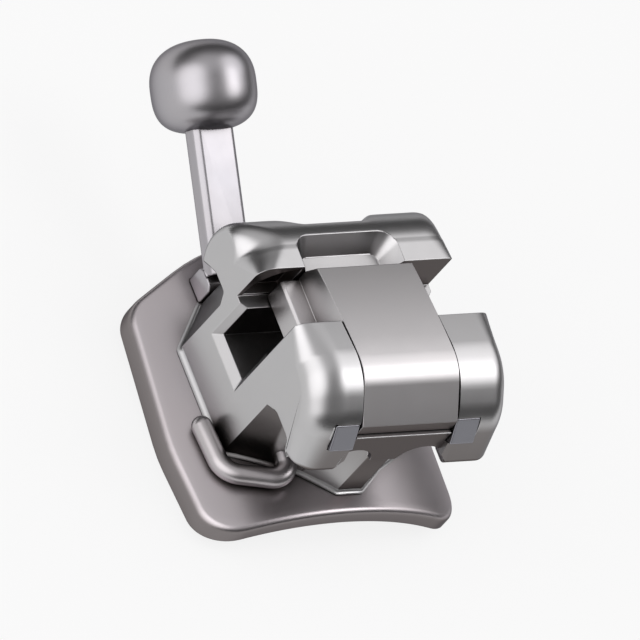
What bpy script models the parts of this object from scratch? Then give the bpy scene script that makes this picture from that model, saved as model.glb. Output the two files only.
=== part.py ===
"""Orthodontic bracket, self-ligating, with a sliding door and a ball hook.

The origin is the centre of the bonding pad's hollow back. +X runs along the archwire, +Y towards the
ball hook and +Z away from the tooth. Lengths are in metres, written as millimetres times MM.
"""

import math

import bmesh
import bpy
from mathutils import Matrix, Vector

MM = 0.001

# Fits
SEAT_GAP = 0.010 * MM
SLIDE_GAP = 0.015 * MM
WELD_DISTANCE = 0.0001 * MM

# Bonding pad
PAD_THICKNESS = 0.216 * MM
PAD_BACK_RADIUS = 3.26 * MM
PAD_FACETS = 15
PAD_FACET_ANGLE = math.radians(4.8)
PAD_TOP = 1.64 * MM
PAD_TOP_ARC_RADIUS = 2.2 * MM
PAD_TOP_ARC_STEPS = 4
PAD_TOP_HALF_WIDTH = 0.95 * MM
PAD_SHOULDER_X = 1.58 * MM
PAD_SHOULDER_Y = 1.125 * MM
PAD_SHOULDER_RADIUS = 0.35 * MM
PAD_WAIST_X = 1.715 * MM
PAD_WAIST_Y = -0.54 * MM
PAD_HIP_X = 1.62 * MM
PAD_BOTTOM = -1.71 * MM
PAD_BOTTOM_CORNER_RADIUS = 0.42 * MM
PAD_RIM_ROUNDING = 0.06 * MM
GROOVE_PITCH = 0.34 * MM
GROOVE_WIDTH = 0.11 * MM
GROOVE_DEPTH = 0.05 * MM
GROOVE_ROWS_EACH_SIDE = 4
GROOVE_COLUMNS_EACH_SIDE = 3
GROOVE_FIELD_FACETS = 9
GROOVE_FIELD_HALF_HEIGHT = 1.32 * MM

# Neck
BODY_LEFT = -1.225 * MM
BODY_RIGHT = 1.280 * MM
NECK_TOP = 0.516 * MM
NECK_CROWN_Y = 0.95 * MM
NECK_CROWN_HALF_WIDTH = 0.85 * MM
NECK_BOTTOM = -0.77 * MM
NECK_FRONT = 1.21 * MM
KEEL_BOTTOM = -1.45 * MM
KEEL_HALF_WIDTH = 0.15 * MM
KEEL_KNEE_X = 0.5 * MM
KEEL_KNEE_Y = -1.18 * MM

# Archwire slot
SLOT_HEIGHT = 0.56 * MM
SLOT_FLOOR = 0.658 * MM
SLOT_FLARE = 0.078 * MM
SLOT_FLARE_DEPTH = 0.105 * MM
SLOT_FLARE_WIDTH = 0.07 * MM

# Upper wings
UPPER_UNDERSIDE = 0.442 * MM
UPPER_FRONT = 1.711 * MM
UPPER_BULB_Y = 0.72 * MM
UPPER_BULB_Z = 1.18 * MM
UPPER_BULB_RADIUS = 0.525 * MM
UPPER_BULB_END = math.radians(-42)
UPPER_NOTCH_FRONT = 1.00 * MM
UPPER_NOTCH_ROUNDING = 0.12 * MM
UPPER_NOTCH_INNER_Y = 0.60 * MM
UPPER_SIDE_DROP = 0.46 * MM
UPPER_SIDE_START = math.radians(25)
UPPER_LEFT_WIDTH = 0.50 * MM
UPPER_RIGHT_WIDTH = 0.25 * MM
UPPER_RIGHT_SHARE = 0.15
SADDLE_TOP = 1.02 * MM
SADDLE_HALF_WIDTH = 0.40 * MM
SADDLE_SLOPE = 0.40
SADDLE_ROUNDING = 0.30 * MM

# Tool recess between the upper wings
RECESS_HALF_WIDTH = 0.65 * MM
RECESS_TOP = 0.853 * MM
RECESS_FLOOR = 1.479 * MM
RECESS_FLOOR_TOP = 0.684 * MM
RECESS_FLOOR_HALF_WIDTH = 0.50 * MM
RECESS_CORNER_RADIUS = 0.20 * MM
RECESS_FLOOR_CORNER_RADIUS = 0.10 * MM
RECESS_OVERRUN = 0.5

# Lower wings
LOWER_TOP = -0.34 * MM
LOWER_TOP_REAR = 1.25 * MM
LOWER_TOP_FRONT = 1.908 * MM
LOWER_BROW_Y = -0.98 * MM
LOWER_BROW_FRONT = 1.955 * MM
LOWER_BROW_ROUNDING = 0.45 * MM
LOWER_CHIN_Y = -1.45 * MM
LOWER_CHIN_FRONT = 1.58 * MM
LOWER_CHIN_ROUNDING = 0.50 * MM
LOWER_TIP_Y = -1.625 * MM
LOWER_TIP_REAR = 0.93 * MM
LOWER_TIP_ROUNDING = 0.07 * MM
LOWER_TIP_INNER_Y = -1.40 * MM
LOWER_NOTCH_FRONT = 1.075 * MM
LOWER_NOTCH_Y = -1.24 * MM
LOWER_NOTCH_ROUNDING = 0.15 * MM
LOWER_SIDE_DROP = 0.36 * MM
LOWER_LEFT_WIDTH = 0.40 * MM
LOWER_RIGHT_WIDTH = 0.20 * MM
LOWER_RIGHT_SHARE = 0.45
LOWER_SIDE_START_Y = -0.20 * MM
LOWER_SIDE_FULL_Y = -0.90 * MM
LOWER_SIDE_FULL_Z = 1.45 * MM
LOWER_TIP_SHARE = 0.25
ARCH_CENTRE_X = 0.45 * MM
ARCH_RADIUS = 0.29 * MM
ARCH_CROWN = 1.16 * MM
ARCH_SIDES = 24
WEB_BOTTOM = -1.50 * MM

# Door
BAND_HALF_WIDTH = 0.62 * MM
BAND_TOP = 0.341 * MM
BAND_TOP_FRONT = 1.846 * MM
BAND_TOP_EDGE = 0.04 * MM
BAND_SHOULDER_FRONT = 1.64 * MM
BAND_BROW_Y = -0.97 * MM
BAND_BROW_FRONT = 1.965 * MM
BAND_BROW_ROUNDING = 0.30 * MM
BAND_BOTTOM = -1.456 * MM
BAND_BOTTOM_FRONT = 1.576 * MM
BAND_REAR = 1.43 * MM
RUNNER_HALF_WIDTH = 0.856 * MM
RUNNER_REAR = 1.195 * MM
RUNNER_EDGE_FRONT = 1.416 * MM
RUNNER_WALL_FRONT = 1.55 * MM
DOOR_TRAVEL = 0.72 * MM

# Stop plugs
PLUG_OUTER_X = 0.94 * MM
PLUG_LENGTH = 0.311 * MM
PLUG_DEPTH = 0.20 * MM
PLUG_PROUD = 0.018 * MM
PLUG_FACE_Y = -1.484 * MM
PLUG_FACE_Z = 1.426 * MM
PLUG_SLANT = math.radians(61.6)
PLUG_EDGE = 0.012 * MM

# Ball hook
STEM_X = -0.593 * MM
STEM_WIDTH = 0.53 * MM
STEM_DEPTH = 0.25 * MM
STEM_SLANT = math.radians(22.3)
STEM_CHAMFER = 0.055 * MM
STEM_LENGTH = 2.02 * MM
BALL_RADIUS = 0.565 * MM
BALL_HALF_HEIGHT = 0.487 * MM
BALL_Y = 2.993 * MM
BALL_Z = 1.186 * MM
BALL_TOP_SQUARENESS = 2.4
BALL_BOTTOM_SQUARENESS = 3.0
BALL_SEGMENTS = 32
BALL_RINGS = 14
FOOT_BOTTOM = 0.975 * MM
FOOT_TOP = 1.27 * MM
FOOT_FRONT = 0.40 * MM
FOOT_CHAMFER = 0.06 * MM

# Retaining wire
WIRE_RADIUS = 0.1125 * MM
WIRE_END_X = -1.39 * MM
WIRE_END_Y = -0.47 * MM
WIRE_CORNER_X = -1.36 * MM
WIRE_CORNER_Y = -1.05 * MM
WIRE_TURN_X = -0.84 * MM
WIRE_TURN_Y = -1.30 * MM
WIRE_TURN_LIFT = 0.03 * MM
WIRE_ROOT_X = -0.80 * MM
WIRE_ROOT_Y = -0.82 * MM
WIRE_ROOT_Z = 0.30 * MM
WIRE_BEND_RADIUS = 0.18 * MM
WIRE_BEND_STEPS = 5
WIRE_DOME_STEPS = 4
WIRE_HOLE_SIDES = 24

# How far a cutter reaches past what it cuts, and how far a rounding guide stands off a flat side
OVERSHOOT = 1.0 * MM
STANDOFF = 0.008 * MM
NECK_STANDOFF = 0.020 * MM
BITE = 0.050 * MM
MIDDLE_SPLIT = 0.10 * MM

ARC_STEP = math.radians(15)
SIDE_STEPS = 6

# From the drawing planes to the object's frame
PLANE_XY = Matrix.Identity(4)
PLANE_YZ = Matrix(((0, 0, 1, 0), (1, 0, 0, 0), (0, 1, 0, 0), (0, 0, 0, 1)))
PLANE_ZX = Matrix(((0, 1, 0, 0), (0, 0, 1, 0), (1, 0, 0, 0), (0, 0, 0, 1)))


def clear_scene():
    for item in list(bpy.data.objects):
        bpy.data.objects.remove(item, do_unlink=True)


def new_collection(name):
    collection = bpy.data.collections.new(name)
    bpy.context.scene.collection.children.link(collection)
    return collection


def steel(name, colour, roughness):
    """Stainless steel of one colour, for one piece."""
    material = bpy.data.materials.new(name)
    material.use_nodes = True
    shader = material.node_tree.nodes["Principled BSDF"]
    shader.inputs["Base Color"].default_value = (*colour, 1.0)
    shader.inputs["Metallic"].default_value = 1.0
    shader.inputs["Roughness"].default_value = roughness
    return material


def rounded(corners):
    """The outline of a closed polygon whose corners (a, b, radius) are rounded by arcs."""
    outline = []
    count = len(corners)
    for index, (a, b, radius) in enumerate(corners):
        here = Vector((a, b))
        if radius <= 0:
            outline.append(here)
            continue
        before = Vector(corners[index - 1][:2]) - here
        after = Vector(corners[(index + 1) % count][:2]) - here
        half_angle = before.angle(after) / 2
        reach = radius / math.tan(half_angle)
        bisector = (before.normalized() + after.normalized()).normalized()
        centre = here + bisector * radius / math.sin(half_angle)
        start = here + before.normalized() * reach - centre
        end = here + after.normalized() * reach - centre
        sweep = start.angle_signed(end)
        steps = max(2, math.ceil(abs(sweep) / ARC_STEP))
        for step in range(steps + 1):
            turn = Matrix.Rotation(-sweep * step / steps, 2)
            outline.append(centre + turn @ start)
    return outline


def mirrored(half):
    """A closed outline, symmetric about its first axis value of 0, from its half with positive values."""
    return list(half) + [(-a, b, radius) for a, b, radius in reversed(half) if a != 0]


def mesh_from_curve(curve_object):
    """The closed mesh of a curve object, with its caps welded."""
    graph = bpy.context.evaluated_depsgraph_get()
    mesh = bpy.data.meshes.new_from_object(curve_object.evaluated_get(graph))
    work = bmesh.new()
    work.from_mesh(mesh)
    bmesh.ops.remove_doubles(work, verts=work.verts, dist=WELD_DISTANCE)
    bmesh.ops.recalc_face_normals(work, faces=work.faces)
    work.to_mesh(mesh)
    work.free()
    mesh.shade_flat()
    curve = curve_object.data
    bpy.data.objects.remove(curve_object, do_unlink=True)
    bpy.data.curves.remove(curve)
    return mesh


def place(name, mesh, collection, is_cutter=False):
    item = bpy.data.objects.new(name, mesh)
    collection.objects.link(item)
    if is_cutter:
        item.hide_render = True
        item.display_type = "WIRE"
    return item


def extruded(name, outline, low, high, plane, collection, is_cutter=True):
    """A flat outline in a drawing plane, extruded from low to high along the plane's normal."""
    curve = bpy.data.curves.new(name, "CURVE")
    curve.dimensions = "2D"
    curve.fill_mode = "BOTH"
    curve.extrude = (high - low) / 2
    spline = curve.splines.new("POLY")
    spline.points.add(len(outline) - 1)
    for point, (a, b) in zip(spline.points, outline):
        point.co = (a, b, 0, 1)
    spline.use_cyclic_u = True
    guide = bpy.data.objects.new(name + "_outline", curve)
    collection.objects.link(guide)
    bpy.context.view_layer.update()
    mesh = mesh_from_curve(guide)
    mesh.transform(plane @ Matrix.Translation((0, 0, (low + high) / 2)))
    return place(name, mesh, collection, is_cutter)


def boolean(target, tool, operation, solver="EXACT"):
    modifier = target.modifiers.new(tool.name, "BOOLEAN")
    modifier.operation = operation
    modifier.object = tool
    modifier.solver = solver


def applied(item, collection, is_cutter=True):
    """A copy of an object whose modifiers are applied, in place of the object."""
    graph = bpy.context.evaluated_depsgraph_get()
    mesh = bpy.data.meshes.new_from_object(item.evaluated_get(graph))
    mesh.transform(item.matrix_world)
    name = item.name
    bpy.data.objects.remove(item, do_unlink=True)
    return place(name, mesh, collection, is_cutter)


def pad_arc(radius, centre_z):
    """Points (z, x) on the pad's curve, with a facet and not a corner at its middle."""
    points = []
    for index in range(PAD_FACETS + 1):
        angle = (index - PAD_FACETS / 2) * PAD_FACET_ANGLE
        points.append((centre_z + radius * math.cos(angle), radius * math.sin(angle)))
    return points


def pad_centre_z():
    return -PAD_BACK_RADIUS * math.cos(PAD_FACET_ANGLE / 2)


def curved_slab(name, inner_radius, outer_radius, low, high, collection):
    """A slab between two radii about the pad's centre line, from low to high along Y."""
    centre = pad_centre_z()
    outline = pad_arc(outer_radius, centre) + pad_arc(inner_radius, centre)[::-1]
    return extruded(name, outline, low, high, PLANE_ZX, collection)


def pad_outline():
    """The pad from the front: an arched top edge, and sides that open out to rounded lower corners."""
    sides = [
        (-PAD_SHOULDER_X, PAD_SHOULDER_Y, PAD_SHOULDER_RADIUS),
        (-PAD_WAIST_X, PAD_WAIST_Y, 0),
        (-PAD_HIP_X, PAD_BOTTOM, PAD_BOTTOM_CORNER_RADIUS),
        (PAD_HIP_X, PAD_BOTTOM, PAD_BOTTOM_CORNER_RADIUS),
        (PAD_WAIST_X, PAD_WAIST_Y, 0),
        (PAD_SHOULDER_X, PAD_SHOULDER_Y, PAD_SHOULDER_RADIUS),
    ]
    arc_centre = PAD_TOP - PAD_TOP_ARC_RADIUS
    half_sweep = math.asin(PAD_TOP_HALF_WIDTH / PAD_TOP_ARC_RADIUS)
    top = []
    for step in range(-PAD_TOP_ARC_STEPS, PAD_TOP_ARC_STEPS + 1):
        angle = half_sweep * step / PAD_TOP_ARC_STEPS
        top.append((-PAD_TOP_ARC_RADIUS * math.sin(angle),
                    arc_centre + PAD_TOP_ARC_RADIUS * math.cos(angle), 0.0))
    return rounded(sides + top)


def back_groove(name, angles, low, high, collection):
    """A cutter for a groove in the pad's hollow back, over some angles about the pad's centre line."""
    centre = pad_centre_z()
    outline = []
    for radius, run in ((PAD_BACK_RADIUS + GROOVE_DEPTH, angles),
                        (PAD_BACK_RADIUS - OVERSHOOT, angles[::-1])):
        outline += [(centre + radius * math.cos(angle), radius * math.sin(angle)) for angle in run]
    return extruded(name, outline, low, high, PLANE_ZX, collection)


def cut_retention_grooves(pad, cutters):
    """Crossed grooves in the back, for the adhesive, with a whole stud at the middle."""
    field = [(index - GROOVE_FIELD_FACETS / 2) * PAD_FACET_ANGLE for index in range(GROOVE_FIELD_FACETS + 1)]
    for row in range(-GROOVE_ROWS_EACH_SIDE, GROOVE_ROWS_EACH_SIDE):
        y = (row + 0.5) * GROOVE_PITCH
        groove = back_groove("groove_row", field, y - GROOVE_WIDTH / 2, y + GROOVE_WIDTH / 2, cutters)
        boolean(pad, groove, "DIFFERENCE", "MANIFOLD")
    half = GROOVE_WIDTH / 2 / PAD_BACK_RADIUS
    for column in range(-GROOVE_COLUMNS_EACH_SIDE, GROOVE_COLUMNS_EACH_SIDE):
        angle = (column + 0.5) * GROOVE_PITCH / PAD_BACK_RADIUS
        groove = back_groove("groove_column", [angle - half, angle + half], -GROOVE_FIELD_HALF_HEIGHT,
                             GROOVE_FIELD_HALF_HEIGHT, cutters)
        boolean(pad, groove, "DIFFERENCE", "MANIFOLD")


def make_bonding_pad(parts, cutters):
    pad = extruded("bonding_pad", pad_outline(), -PAD_BACK_RADIUS / 2, 2 * PAD_THICKNESS,
                   PLANE_XY, parts, is_cutter=False)
    slab = curved_slab("pad_thickness", PAD_BACK_RADIUS, PAD_BACK_RADIUS + PAD_THICKNESS,
                       2 * PAD_BOTTOM, 2 * PAD_TOP, cutters)
    boolean(pad, slab, "INTERSECT")
    rim = pad.modifiers.new("rim", "BEVEL")
    rim.width = PAD_RIM_ROUNDING
    rim.segments = 2
    rim.limit_method = "ANGLE"
    rim.angle_limit = math.radians(60)
    cut_retention_grooves(pad, cutters)
    pad.data.materials.append(steel("pad_steel", (0.62, 0.58, 0.58), 0.34))
    return pad


def pad_front(x):
    """The height of the pad's front above the origin, at a distance x from its middle."""
    return pad_centre_z() + math.sqrt((PAD_BACK_RADIUS + PAD_THICKNESS) ** 2 - x ** 2)


def pad_seat(name, cutters):
    """A cutter that ends just in front of the pad, for what stands on it."""
    return curved_slab(name, PAD_BACK_RADIUS / 2, PAD_BACK_RADIUS + PAD_THICKNESS + SEAT_GAP,
                       2 * PAD_BOTTOM, 2 * PAD_TOP, cutters)


def hull(name, points, collection):
    """The convex solid round some points, such as two outlines one above the other."""
    mesh = bpy.data.meshes.new(name)
    work = bmesh.new()
    for point in points:
        work.verts.new(point)
    made = bmesh.ops.convex_hull(work, input=work.verts)
    bmesh.ops.delete(work, geom=made["geom_interior"], context="VERTS")
    bmesh.ops.recalc_face_normals(work, faces=work.faces)
    work.to_mesh(mesh)
    work.free()
    return place(name, mesh, collection, True)


def rod(name, radius, sides, start, end, collection):
    """A round cutter between two points."""
    along = (end - start).to_track_quat("Z", "Y").to_matrix().to_4x4()
    mesh = bpy.data.meshes.new(name)
    work = bmesh.new()
    bmesh.ops.create_cone(work, cap_ends=True, segments=sides, radius1=radius, radius2=radius,
                          depth=(end - start).length,
                          matrix=Matrix.Translation((start + end) / 2) @ along)
    work.to_mesh(mesh)
    work.free()
    return place(name, mesh, collection, True)


def carried_on(first, second, x):
    """The point at x on the line through two points."""
    share = (x - first[0]) / (second[0] - first[0])
    return (x, first[1] + share * (second[1] - first[1]), 0.0)


def neck_outline():
    """The neck from the front. It is a little too wide, and is trimmed with the wings."""
    left = BODY_LEFT - NECK_STANDOFF
    right = BODY_RIGHT + NECK_STANDOFF
    return rounded([
        (-KEEL_HALF_WIDTH, KEEL_BOTTOM, 0.0),
        (KEEL_HALF_WIDTH, KEEL_BOTTOM, 0.0),
        (KEEL_KNEE_X, KEEL_KNEE_Y, 0.0),
        carried_on((KEEL_KNEE_X, KEEL_KNEE_Y), (BODY_RIGHT, NECK_BOTTOM), right),
        carried_on((NECK_CROWN_HALF_WIDTH, NECK_CROWN_Y), (BODY_RIGHT, NECK_TOP), right),
        (NECK_CROWN_HALF_WIDTH, NECK_CROWN_Y, 0.0),
        (-NECK_CROWN_HALF_WIDTH, NECK_CROWN_Y, 0.0),
        carried_on((-NECK_CROWN_HALF_WIDTH, NECK_CROWN_Y), (BODY_LEFT, NECK_TOP), left),
        carried_on((-KEEL_KNEE_X, KEEL_KNEE_Y), (BODY_LEFT, NECK_BOTTOM), left),
        (-KEEL_KNEE_X, KEEL_KNEE_Y, 0.0),
    ])


def loft(name, sections, collection):
    """A closed solid through rings of points that each have the same count."""
    mesh = bpy.data.meshes.new(name)
    work = bmesh.new()
    rings = [[work.verts.new(point) for point in section] for section in sections]
    for ring, following in zip(rings, rings[1:]):
        for index in range(len(ring)):
            work.faces.new((ring[index - 1], ring[index], following[index], following[index - 1]))
    work.faces.new(rings[0])
    work.faces.new(rings[-1])
    bmesh.ops.triangulate(work, faces=work.faces)
    bmesh.ops.recalc_face_normals(work, faces=work.faces)
    work.to_mesh(mesh)
    work.free()
    return place(name, mesh, collection, True)


def wing_loft(name, profile, drops, left_width, right_width, right_share, collection):
    """A side profile (y, z) carried across the body, drawn in by its drops towards each side.

    The drop of a point follows a quarter circle from none at a width short of the side to all of
    it at the side, so the edge between the wing's front and its side is rounded. The right side is
    drawn in by a share of the drops.
    """
    turns = [math.pi / 2 * step / SIDE_STEPS for step in range(SIDE_STEPS + 1)]
    stations = [(BODY_LEFT - STANDOFF + left_width * (1 - math.sin(turn)), 1 - math.cos(turn))
                for turn in reversed(turns)]
    stations += [(BODY_RIGHT + STANDOFF - right_width * (1 - math.sin(turn)),
                  right_share * (1 - math.cos(turn))) for turn in turns]
    sections = []
    for x, share in stations:
        sections.append([(x, point.x + drop.x * share, point.y + drop.y * share)
                         for point, drop in zip(profile, drops)])
    return loft(name, sections, collection)


def make_upper_wings(cutters):
    """The upper wings: a round bulb seen from the side, whose front closes in towards each side."""
    corners = [(MIDDLE_SPLIT, UPPER_NOTCH_FRONT - BITE, 0.0), (MIDDLE_SPLIT, UPPER_FRONT, 0.0)]
    sweep = math.pi / 2 - UPPER_BULB_END
    steps = math.ceil(sweep / ARC_STEP)
    for step in range(steps + 1):
        angle = math.pi / 2 - sweep * step / steps
        corners.append((UPPER_BULB_Y + UPPER_BULB_RADIUS * math.cos(angle),
                        UPPER_BULB_Z + UPPER_BULB_RADIUS * math.sin(angle), 0.0))
    corners.append(((UPPER_NOTCH_INNER_Y + corners[-1][0]) / 2, UPPER_NOTCH_FRONT, UPPER_NOTCH_ROUNDING))
    corners.append((UPPER_NOTCH_INNER_Y, UPPER_NOTCH_FRONT, UPPER_NOTCH_ROUNDING / 2))
    corners.append((NECK_TOP - BITE, UPPER_NOTCH_FRONT - 2 * UPPER_NOTCH_ROUNDING, 0.0))
    profile = rounded(corners)
    centre = Vector((UPPER_BULB_Y, UPPER_BULB_Z))
    drops = []
    for point in profile:
        inward = Vector((max(0.0, point.x - centre.x), point.y - centre.y))
        share = (math.atan2(inward.y, inward.x) - UPPER_SIDE_START) / (math.pi / 2 - UPPER_SIDE_START)
        if inward.length < UPPER_BULB_RADIUS - STANDOFF:
            share = 0.0
        drops.append(-inward.normalized() * UPPER_SIDE_DROP * min(1.0, max(0.0, share)))
    wings = wing_loft("upper_wings", profile, drops, UPPER_LEFT_WIDTH, UPPER_RIGHT_WIDTH,
                      UPPER_RIGHT_SHARE, cutters)
    rise = UPPER_BULB_RADIUS / 2
    saddle = extruded("saddle", rounded(mirrored([
        (SADDLE_HALF_WIDTH, SADDLE_TOP, SADDLE_ROUNDING),
        (SADDLE_HALF_WIDTH + rise / SADDLE_SLOPE, SADDLE_TOP + rise, 0.0),
    ])), 0.0, UPPER_FRONT + OVERSHOOT, PLANE_XY, cutters)
    boolean(wings, saddle, "DIFFERENCE")
    return wings


def make_lower_wings(cutters):
    """The lower wings and the web between them, arched beneath."""
    profile = rounded([
        (-MIDDLE_SPLIT, LOWER_TIP_REAR, 0.0),
        (-MIDDLE_SPLIT, LOWER_TOP_FRONT, 0.0),
        (LOWER_TOP, LOWER_TOP_FRONT, 0.0),
        (LOWER_BROW_Y, LOWER_BROW_FRONT, LOWER_BROW_ROUNDING),
        (LOWER_CHIN_Y, LOWER_CHIN_FRONT, LOWER_CHIN_ROUNDING),
        (LOWER_TIP_Y, LOWER_TIP_REAR, LOWER_TIP_ROUNDING),
        (LOWER_TIP_INNER_Y, LOWER_TIP_REAR, 0.0),
        (LOWER_NOTCH_Y, LOWER_NOTCH_FRONT, LOWER_NOTCH_ROUNDING),
        (NECK_BOTTOM - LOWER_NOTCH_ROUNDING, LOWER_NOTCH_FRONT, LOWER_NOTCH_ROUNDING),
        (NECK_BOTTOM + BITE, LOWER_TIP_REAR, 0.0),
    ])
    centre = Vector((LOWER_SIDE_FULL_Y, LOWER_NOTCH_FRONT))
    drops = []
    for point in profile:
        inward = Vector((min(0.0, point.x - centre.x), point.y - centre.y))
        share = (LOWER_SIDE_START_Y - point.x) / (LOWER_SIDE_START_Y - LOWER_SIDE_FULL_Y)
        share = min(1.0, max(0.0, share))
        below = min(1.0, (point.y - LOWER_TIP_REAR) / (LOWER_SIDE_FULL_Z - LOWER_TIP_REAR))
        share *= LOWER_TIP_SHARE + (1 - LOWER_TIP_SHARE) * below
        if point.y < LOWER_NOTCH_FRONT + STANDOFF and point.x > LOWER_TIP_INNER_Y - STANDOFF:
            share = 0.0
        drops.append(-inward.normalized() * LOWER_SIDE_DROP * share)
    wings = wing_loft("lower_wings", profile, drops, LOWER_LEFT_WIDTH, LOWER_RIGHT_WIDTH,
                      LOWER_RIGHT_SHARE, cutters)
    for side, name in ((-1, "arch_left"), (1, "arch_right")):
        low = Vector((side * ARCH_CENTRE_X, -2 * OVERSHOOT, ARCH_CROWN - ARCH_RADIUS))
        high = Vector((side * ARCH_CENTRE_X, LOWER_TOP, ARCH_CROWN - ARCH_RADIUS))
        arch = rod(name, ARCH_RADIUS, ARCH_SIDES, low, high, cutters)
        boolean(wings, arch, "DIFFERENCE")
    channel = BAND_HALF_WIDTH + SLIDE_GAP
    below_web = extruded("below_web", rounded(mirrored([
        (channel, WEB_BOTTOM, 0.0), (channel, WEB_BOTTOM - OVERSHOOT, 0.0),
    ])), 0.0, LOWER_BROW_FRONT + OVERSHOOT, PLANE_XY, cutters)
    boolean(wings, below_web, "DIFFERENCE")
    return wings


def width_guide(cutters):
    """A block as wide as the body, which gives the neck and the wings one flat side."""
    return extruded("body_width", rounded([
        (BODY_LEFT, -2 * OVERSHOOT, 0.0), (BODY_RIGHT, -2 * OVERSHOOT, 0.0),
        (BODY_RIGHT, 2 * OVERSHOOT, 0.0), (BODY_LEFT, 2 * OVERSHOOT, 0.0),
    ]), -PAD_BACK_RADIUS, LOWER_BROW_FRONT + OVERSHOOT, PLANE_XY, cutters)


def slot_cutter(cutters):
    """The archwire slot and all that is open in front of it, right through the body."""
    half = SLOT_HEIGHT / 2
    front = LOWER_BROW_FRONT + OVERSHOOT
    rear = RUNNER_REAR - SLIDE_GAP
    return extruded("archwire_slot", rounded([
        (-half, SLOT_FLOOR, 0.0),
        (half, SLOT_FLOOR, 0.0),
        (half, rear, 0.0),
        (UPPER_UNDERSIDE, rear, 0.0),
        (UPPER_UNDERSIDE, front, 0.0),
        (LOWER_TOP, front, 0.0),
        (LOWER_TOP, LOWER_TOP_REAR, 0.0),
        (-half, LOWER_TOP_REAR + LOWER_TOP + half, 0.0),
    ]), BODY_LEFT - OVERSHOOT, BODY_RIGHT + OVERSHOOT, PLANE_YZ, cutters)


def flare_cutter(side, cutters):
    """The bevel round one end of the slot: it widens from inside the body to past its side."""
    points = []
    front = LOWER_BROW_FRONT + OVERSHOOT
    for share in (0.0, 2.0):
        x = (BODY_LEFT if side < 0 else BODY_RIGHT) + side * (share - 1.0) * SLOT_FLARE_WIDTH
        half = SLOT_HEIGHT / 2 + share * SLOT_FLARE
        floor = SLOT_FLOOR - share * SLOT_FLARE_DEPTH
        points += [(x, -half, floor), (x, half, floor), (x, half, front), (x, -half, front)]
    name = "flare_left" if side < 0 else "flare_right"
    return hull(name, points, cutters)


def plug_depth_axis():
    """The direction out of a plug's face, square to the wing's lower front."""
    return Vector((0.0, -math.sin(PLUG_SLANT), math.cos(PLUG_SLANT)))


def runner_end():
    """Where the door's runner ends when the door is shut, so that the plugs stop it when open."""
    inward = Vector((0.0, PLUG_FACE_Y, PLUG_FACE_Z)) - plug_depth_axis() * PLUG_DEPTH
    along = Vector((0.0, math.cos(PLUG_SLANT), math.sin(PLUG_SLANT)))
    return (inward + along * PLUG_LENGTH / 2).y + DOOR_TRAVEL + SLIDE_GAP


def runner_outline(gap):
    """The section of the door's runner as (z, x), grown by a gap on every side."""
    rear = RUNNER_REAR - gap
    half = [
        (rear, RUNNER_HALF_WIDTH + gap, 0.0),
        (RUNNER_EDGE_FRONT + gap, RUNNER_HALF_WIDTH + gap, 0.0),
        (RUNNER_WALL_FRONT + gap, BAND_HALF_WIDTH + gap, 0.0),
    ]
    return rounded(half + [(z, -x, radius) for z, x, radius in reversed(half)])


def make_sliding_door(parts, cutters):
    door_top = UPPER_UNDERSIDE - SLIDE_GAP
    door = extruded("sliding_door", rounded([
        (door_top, RUNNER_REAR + SLOT_FLARE, 0.0),
        (door_top, BAND_SHOULDER_FRONT, 0.0),
        (BAND_TOP, BAND_TOP_FRONT, BAND_TOP_EDGE),
        (BAND_BROW_Y, BAND_BROW_FRONT, BAND_BROW_ROUNDING),
        (BAND_BOTTOM, BAND_BOTTOM_FRONT, 0.0),
        (BAND_BOTTOM, BAND_REAR, 0.0),
        (0.0, BAND_REAR, 0.0),
        (0.0, RUNNER_REAR + SLOT_FLARE, 0.0),
    ]), -BAND_HALF_WIDTH, BAND_HALF_WIDTH, PLANE_YZ, parts, is_cutter=False)
    runner = extruded("runner", runner_outline(0.0), runner_end(), door_top, PLANE_ZX, cutters)
    boolean(door, runner, "UNION")
    door.data.materials.append(steel("door_steel", (0.66, 0.63, 0.62), 0.28))
    return door


def plug_box(name, side, inner_x, outer_x, length, depth, proud, collection, is_cutter):
    """A box let into the lower front of a wing, with its face square to the surface there."""
    turn = Matrix.Rotation(PLUG_SLANT, 4, "X")
    centre = Vector((side * (inner_x + outer_x) / 2, PLUG_FACE_Y, PLUG_FACE_Z))
    centre += plug_depth_axis() * (proud - depth) / 2
    size = Matrix.Diagonal((outer_x - inner_x, length, depth + proud, 1.0))
    mesh = bpy.data.meshes.new(name)
    work = bmesh.new()
    bmesh.ops.create_cube(work, size=1.0, matrix=Matrix.Translation(centre) @ turn @ size)
    work.to_mesh(mesh)
    work.free()
    return place(name, mesh, collection, is_cutter)


def make_stop_plug(name, side, parts):
    plug = plug_box(name, side, BAND_HALF_WIDTH + SLIDE_GAP, PLUG_OUTER_X, PLUG_LENGTH,
                    PLUG_DEPTH, PLUG_PROUD, parts, False)
    edge = plug.modifiers.new("edge", "BEVEL")
    edge.width = PLUG_EDGE
    edge.segments = 1
    plug.data.materials.append(steel(name + "_steel", (0.50, 0.49, 0.54), 0.30))
    return plug


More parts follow.
